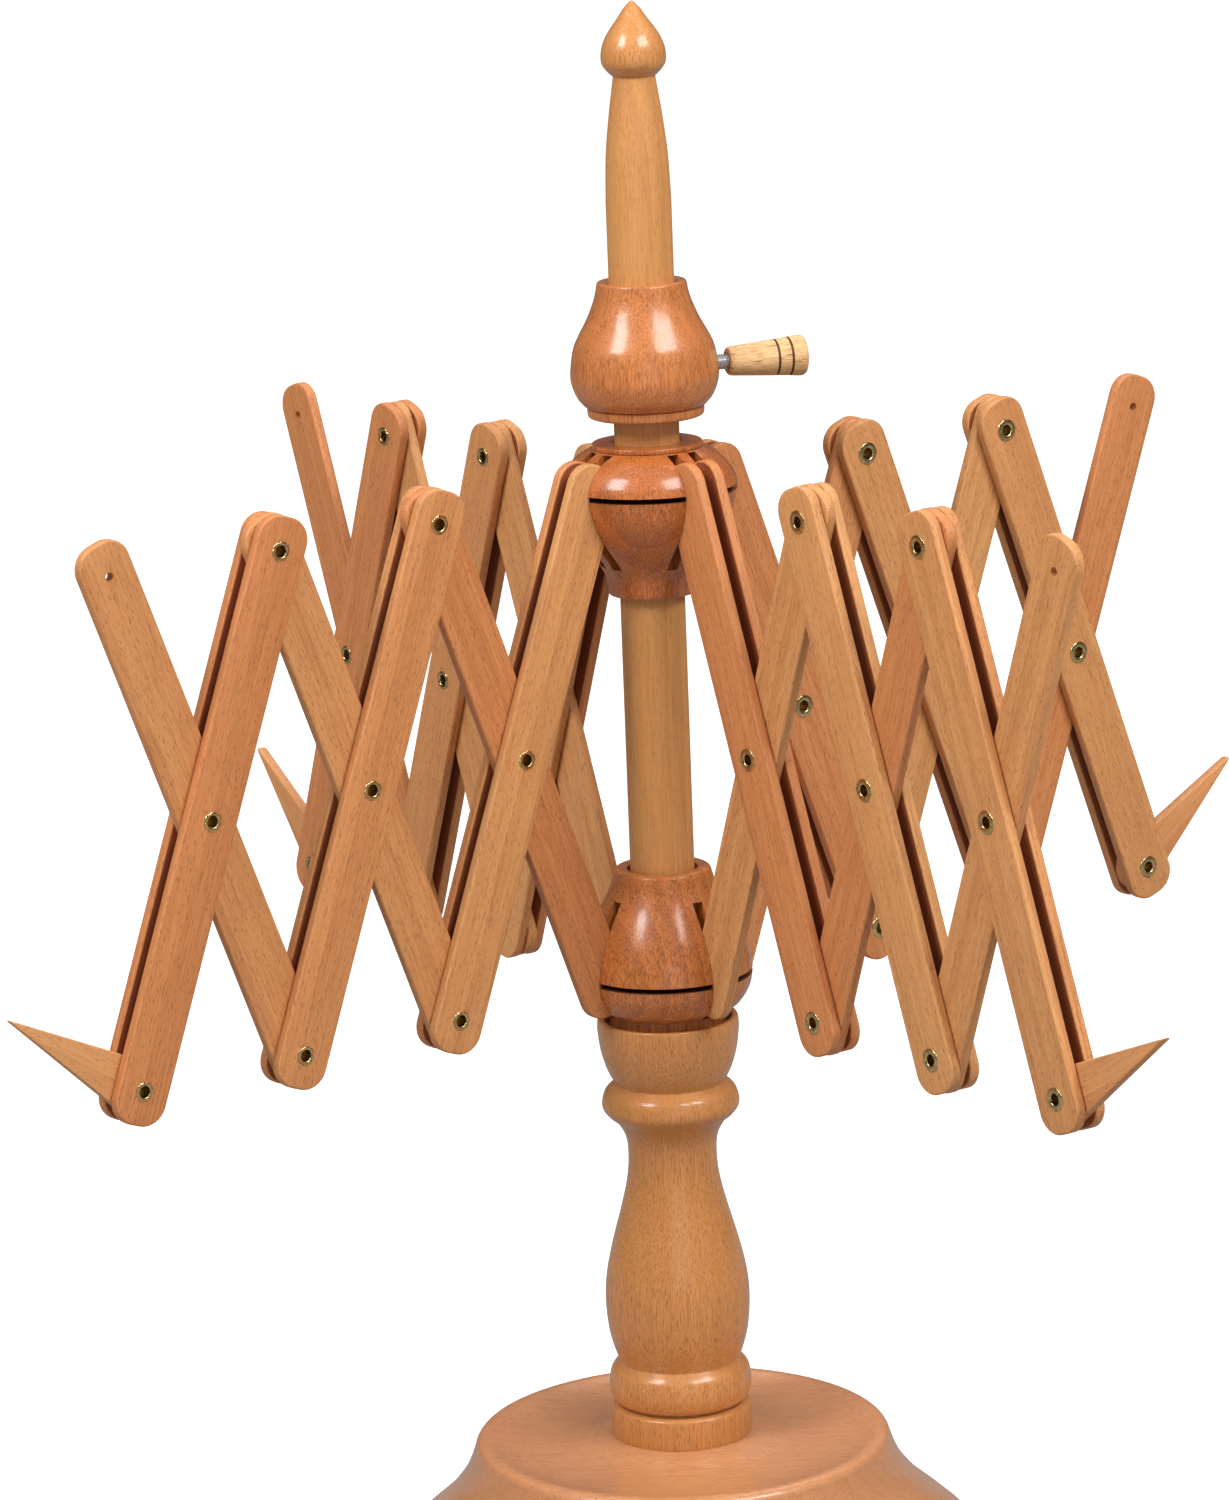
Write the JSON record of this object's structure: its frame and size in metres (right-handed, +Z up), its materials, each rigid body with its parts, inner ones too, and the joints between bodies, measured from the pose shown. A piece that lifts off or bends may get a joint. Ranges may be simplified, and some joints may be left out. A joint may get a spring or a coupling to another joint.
{
  "type": "yarn swift",
  "caption": "Table-top wooden umbrella swift: turned stand, slotted hubs on a mast, scissor arms that open and spin, end pegs and a screw-locked collar.",
  "frame": {"origin": "centre of the base's flat underside", "axes": "+Z up along the mast; +X to the right and +Y away from a viewer who faces the swift, with the thumbscrew to the right"},
  "size_m": [0.4763, 0.4747, 0.6154],
  "materials": {
    "turned_beech": "glossy clear lacquer",
    "mast_beech": "satin",
    "hub_beech": "glossy clear lacquer",
    "collar_beech": "glossy clear lacquer",
    "slat_beech": "satin",
    "peg_beech": "satin",
    "handle_ash": "satin",
    "eyelet_brass": "tarnished",
    "brass": "machined",
    "screw_steel": "zinc plated",
    "zinc_steel": "zinc plated",
    "dark_wire": "blackened"
  },
  "bodies": {
    "stand": {"base": "turned_beech", "column": "turned_beech", "base_bolt": "zinc_steel", "base_washer": "zinc_steel", "mast": "mast_beech", "finial": "turned_beech"},
    "rotor": {"lower_hub": "hub_beech", "lower_wire_ring": "dark_wire"},
    "upper_hub": {"upper_hub": "hub_beech", "upper_wire_ring": "dark_wire"},
    "locking_collar": {"locking_collar": "collar_beech", "collar_insert": "brass"},
    "thumbscrew": {"screw_rod": "screw_steel", "screw_handle": "handle_ash"},
    "arm1_inner_link": {"arm1_inner_link": "slat_beech"},
    "arm1_inner_fork": {"arm1_inner_fork": "slat_beech", "arm1_inner_eyelets": "eyelet_brass"},
    "arm1_middle_link": {"arm1_middle_link": "slat_beech"},
    "arm1_middle_fork": {"arm1_middle_fork": "slat_beech", "arm1_middle_eyelets": "eyelet_brass"},
    "arm1_outer_link": {"arm1_outer_link": "slat_beech"},
    "arm1_outer_fork": {"arm1_outer_fork": "slat_beech", "arm1_outer_eyelets": "eyelet_brass"},
    "arm1_peg": {"arm1_peg": "peg_beech"},
    "arm2_inner_link": {"arm2_inner_link": "slat_beech"},
    "arm2_inner_fork": {"arm2_inner_fork": "slat_beech", "arm2_inner_eyelets": "eyelet_brass"},
    "arm2_middle_link": {"arm2_middle_link": "slat_beech"},
    "arm2_middle_fork": {"arm2_middle_fork": "slat_beech", "arm2_middle_eyelets": "eyelet_brass"},
    "arm2_outer_link": {"arm2_outer_link": "slat_beech"},
    "arm2_outer_fork": {"arm2_outer_fork": "slat_beech", "arm2_outer_eyelets": "eyelet_brass"},
    "arm2_peg": {"arm2_peg": "peg_beech"},
    "arm3_inner_link": {"arm3_inner_link": "slat_beech"},
    "arm3_inner_fork": {"arm3_inner_fork": "slat_beech", "arm3_inner_eyelets": "eyelet_brass"},
    "arm3_middle_link": {"arm3_middle_link": "slat_beech"},
    "arm3_middle_fork": {"arm3_middle_fork": "slat_beech", "arm3_middle_eyelets": "eyelet_brass"},
    "arm3_outer_link": {"arm3_outer_link": "slat_beech"},
    "arm3_outer_fork": {"arm3_outer_fork": "slat_beech", "arm3_outer_eyelets": "eyelet_brass"},
    "arm3_peg": {"arm3_peg": "peg_beech"},
    "arm4_inner_link": {"arm4_inner_link": "slat_beech"},
    "arm4_inner_fork": {"arm4_inner_fork": "slat_beech", "arm4_inner_eyelets": "eyelet_brass"},
    "arm4_middle_link": {"arm4_middle_link": "slat_beech"},
    "arm4_middle_fork": {"arm4_middle_fork": "slat_beech", "arm4_middle_eyelets": "eyelet_brass"},
    "arm4_outer_link": {"arm4_outer_link": "slat_beech"},
    "arm4_outer_fork": {"arm4_outer_fork": "slat_beech", "arm4_outer_eyelets": "eyelet_brass"},
    "arm4_peg": {"arm4_peg": "peg_beech"}
  },
  "joints": [
    {"name": "rotor_spin", "type": "hinge", "parent": "stand", "child": "rotor", "pos_m": [0, 0, 0.2385], "axis": [0, 0, 1], "continuous": true},
    {"name": "fold", "type": "hinge", "parent": "rotor", "child": "arm1_inner_link", "pos_m": [0.02524, 0.01834, 0.2385], "axis": [-0.5878, 0.809, 0], "range_deg": [-13.2, 44.8]},
    {"name": "arm1_cross_pivot_1", "type": "hinge", "parent": "arm1_inner_link", "child": "arm1_inner_fork", "pos_m": [0.05374, 0.03904, 0.33423], "axis": [-0.5878, 0.809, 0], "range_deg": [-90.6, 27.4]},
    {"name": "arm1_low_pivot_1", "type": "hinge", "parent": "arm1_inner_fork", "child": "arm1_middle_link", "pos_m": [0.08223, 0.05974, 0.2385], "axis": [-0.5878, 0.809, 0], "range_deg": [-27.4, 90.6]},
    {"name": "arm1_cross_pivot_2", "type": "hinge", "parent": "arm1_middle_link", "child": "arm1_middle_fork", "pos_m": [0.11072, 0.08045, 0.33423], "axis": [-0.5878, 0.809, 0], "range_deg": [-90.6, 27.4]},
    {"name": "arm1_low_pivot_2", "type": "hinge", "parent": "arm1_middle_fork", "child": "arm1_outer_link", "pos_m": [0.13922, 0.10115, 0.2385], "axis": [-0.5878, 0.809, 0], "range_deg": [-27.4, 90.6]},
    {"name": "arm1_cross_pivot_3", "type": "hinge", "parent": "arm1_outer_link", "child": "arm1_outer_fork", "pos_m": [0.16771, 0.12185, 0.33423], "axis": [-0.5878, 0.809, 0], "range_deg": [-90.6, 27.4]},
    {"name": "peg1_pivot", "type": "hinge", "parent": "arm1_outer_fork", "child": "arm1_peg", "pos_m": [0.1962, 0.14255, 0.2385], "axis": [0.5878, -0.809, 0], "range_deg": [-60, 35]},
    {"name": "arm2_hub_pivot", "type": "hinge", "parent": "rotor", "child": "arm2_inner_link", "pos_m": [-0.01834, 0.02524, 0.2385], "axis": [-0.809, -0.5878, 0], "range_deg": [-13.7, 45.3]},
    {"name": "arm2_cross_pivot_1", "type": "hinge", "parent": "arm2_inner_link", "child": "arm2_inner_fork", "pos_m": [-0.03904, 0.05374, 0.33423], "axis": [-0.809, -0.5878, 0], "range_deg": [-90.6, 27.4]},
    {"name": "arm2_low_pivot_1", "type": "hinge", "parent": "arm2_inner_fork", "child": "arm2_middle_link", "pos_m": [-0.05974, 0.08223, 0.2385], "axis": [-0.809, -0.5878, 0], "range_deg": [-27.4, 90.6]},
    {"name": "arm2_cross_pivot_2", "type": "hinge", "parent": "arm2_middle_link", "child": "arm2_middle_fork", "pos_m": [-0.08045, 0.11072, 0.33423], "axis": [-0.809, -0.5878, 0], "range_deg": [-90.6, 27.4]},
    {"name": "arm2_low_pivot_2", "type": "hinge", "parent": "arm2_middle_fork", "child": "arm2_outer_link", "pos_m": [-0.10115, 0.13922, 0.2385], "axis": [-0.809, -0.5878, 0], "range_deg": [-27.4, 90.6]},
    {"name": "arm2_cross_pivot_3", "type": "hinge", "parent": "arm2_outer_link", "child": "arm2_outer_fork", "pos_m": [-0.12185, 0.16771, 0.33423], "axis": [-0.809, -0.5878, 0], "range_deg": [-90.6, 27.4]},
    {"name": "peg2_pivot", "type": "hinge", "parent": "arm2_outer_fork", "child": "arm2_peg", "pos_m": [-0.14255, 0.1962, 0.2385], "axis": [0.809, 0.5878, 0], "range_deg": [-60, 35]},
    {"name": "arm3_hub_pivot", "type": "hinge", "parent": "rotor", "child": "arm3_inner_link", "pos_m": [-0.02524, -0.01834, 0.2385], "axis": [0.5878, -0.809, 0], "range_deg": [-13.7, 45.3]},
    {"name": "arm3_cross_pivot_1", "type": "hinge", "parent": "arm3_inner_link", "child": "arm3_inner_fork", "pos_m": [-0.05374, -0.03904, 0.33423], "axis": [0.5878, -0.809, 0], "range_deg": [-90.6, 27.4]},
    {"name": "arm3_low_pivot_1", "type": "hinge", "parent": "arm3_inner_fork", "child": "arm3_middle_link", "pos_m": [-0.08223, -0.05974, 0.2385], "axis": [0.5878, -0.809, 0], "range_deg": [-27.4, 90.6]},
    {"name": "arm3_cross_pivot_2", "type": "hinge", "parent": "arm3_middle_link", "child": "arm3_middle_fork", "pos_m": [-0.11072, -0.08045, 0.33423], "axis": [0.5878, -0.809, 0], "range_deg": [-90.6, 27.4]},
    {"name": "arm3_low_pivot_2", "type": "hinge", "parent": "arm3_middle_fork", "child": "arm3_outer_link", "pos_m": [-0.13922, -0.10115, 0.2385], "axis": [0.5878, -0.809, 0], "range_deg": [-27.4, 90.6]},
    {"name": "arm3_cross_pivot_3", "type": "hinge", "parent": "arm3_outer_link", "child": "arm3_outer_fork", "pos_m": [-0.16771, -0.12185, 0.33423], "axis": [0.5878, -0.809, 0], "range_deg": [-90.6, 27.4]},
    {"name": "peg3_pivot", "type": "hinge", "parent": "arm3_outer_fork", "child": "arm3_peg", "pos_m": [-0.1962, -0.14255, 0.2385], "axis": [-0.5878, 0.809, 0], "range_deg": [-60, 35]},
    {"name": "arm4_hub_pivot", "type": "hinge", "parent": "rotor", "child": "arm4_inner_link", "pos_m": [0.01834, -0.02524, 0.2385], "axis": [0.809, 0.5878, 0], "range_deg": [-13.7, 45.3]},
    {"name": "arm4_cross_pivot_1", "type": "hinge", "parent": "arm4_inner_link", "child": "arm4_inner_fork", "pos_m": [0.03904, -0.05374, 0.33423], "axis": [0.809, 0.5878, 0], "range_deg": [-90.6, 27.4]},
    {"name": "arm4_low_pivot_1", "type": "hinge", "parent": "arm4_inner_fork", "child": "arm4_middle_link", "pos_m": [0.05974, -0.08223, 0.2385], "axis": [0.809, 0.5878, 0], "range_deg": [-27.4, 90.6]},
    {"name": "arm4_cross_pivot_2", "type": "hinge", "parent": "arm4_middle_link", "child": "arm4_middle_fork", "pos_m": [0.08045, -0.11072, 0.33423], "axis": [0.809, 0.5878, 0], "range_deg": [-90.6, 27.4]},
    {"name": "arm4_low_pivot_2", "type": "hinge", "parent": "arm4_middle_fork", "child": "arm4_outer_link", "pos_m": [0.10115, -0.13922, 0.2385], "axis": [0.809, 0.5878, 0], "range_deg": [-27.4, 90.6]},
    {"name": "arm4_cross_pivot_3", "type": "hinge", "parent": "arm4_outer_link", "child": "arm4_outer_fork", "pos_m": [0.12185, -0.16771, 0.33423], "axis": [0.809, 0.5878, 0], "range_deg": [-90.6, 27.4]},
    {"name": "peg4_pivot", "type": "hinge", "parent": "arm4_outer_fork", "child": "arm4_peg", "pos_m": [0.14255, -0.1962, 0.2385], "axis": [-0.809, -0.5878, 0], "range_deg": [-60, 35]},
    {"name": "upper_hub_pivot", "type": "hinge", "parent": "arm1_inner_fork", "child": "upper_hub", "pos_m": [0.02524, 0.01834, 0.42995], "axis": [-0.5878, 0.809, 0], "range_deg": [-13.7, 45.3]},
    {"name": "collar_slide", "type": "slide", "parent": "stand", "child": "locking_collar", "axis": [0, 0, 1], "range_m": [-0.096, 0.0285]},
    {"name": "screw_turn", "type": "hinge", "parent": "locking_collar", "child": "thumbscrew", "pos_m": [0, 0, 0.4755], "axis": [0.9511, 0.309, 0], "range_deg": [0, 720]}
  ],
  "couplings": [
    {"joint": "arm1_cross_pivot_1", "follows": "fold", "ratio": -2},
    {"joint": "arm1_low_pivot_1", "follows": "fold", "ratio": 2},
    {"joint": "arm1_cross_pivot_2", "follows": "fold", "ratio": -2},
    {"joint": "arm1_low_pivot_2", "follows": "fold", "ratio": 2},
    {"joint": "arm1_cross_pivot_3", "follows": "fold", "ratio": -2},
    {"joint": "arm2_hub_pivot", "follows": "fold", "ratio": 1},
    {"joint": "arm2_cross_pivot_1", "follows": "fold", "ratio": -2},
    {"joint": "arm2_low_pivot_1", "follows": "fold", "ratio": 2},
    {"joint": "arm2_cross_pivot_2", "follows": "fold", "ratio": -2},
    {"joint": "arm2_low_pivot_2", "follows": "fold", "ratio": 2},
    {"joint": "arm2_cross_pivot_3", "follows": "fold", "ratio": -2},
    {"joint": "arm3_hub_pivot", "follows": "fold", "ratio": 1},
    {"joint": "arm3_cross_pivot_1", "follows": "fold", "ratio": -2},
    {"joint": "arm3_low_pivot_1", "follows": "fold", "ratio": 2},
    {"joint": "arm3_cross_pivot_2", "follows": "fold", "ratio": -2},
    {"joint": "arm3_low_pivot_2", "follows": "fold", "ratio": 2},
    {"joint": "arm3_cross_pivot_3", "follows": "fold", "ratio": -2},
    {"joint": "arm4_hub_pivot", "follows": "fold", "ratio": 1},
    {"joint": "arm4_cross_pivot_1", "follows": "fold", "ratio": -2},
    {"joint": "arm4_low_pivot_1", "follows": "fold", "ratio": 2},
    {"joint": "arm4_cross_pivot_2", "follows": "fold", "ratio": -2},
    {"joint": "arm4_low_pivot_2", "follows": "fold", "ratio": 2},
    {"joint": "arm4_cross_pivot_3", "follows": "fold", "ratio": -2},
    {"joint": "upper_hub_pivot", "follows": "fold", "ratio": 1},
    {"joint": "collar_slide", "follows": "fold", "m_per_rad": -0.12}
  ]
}
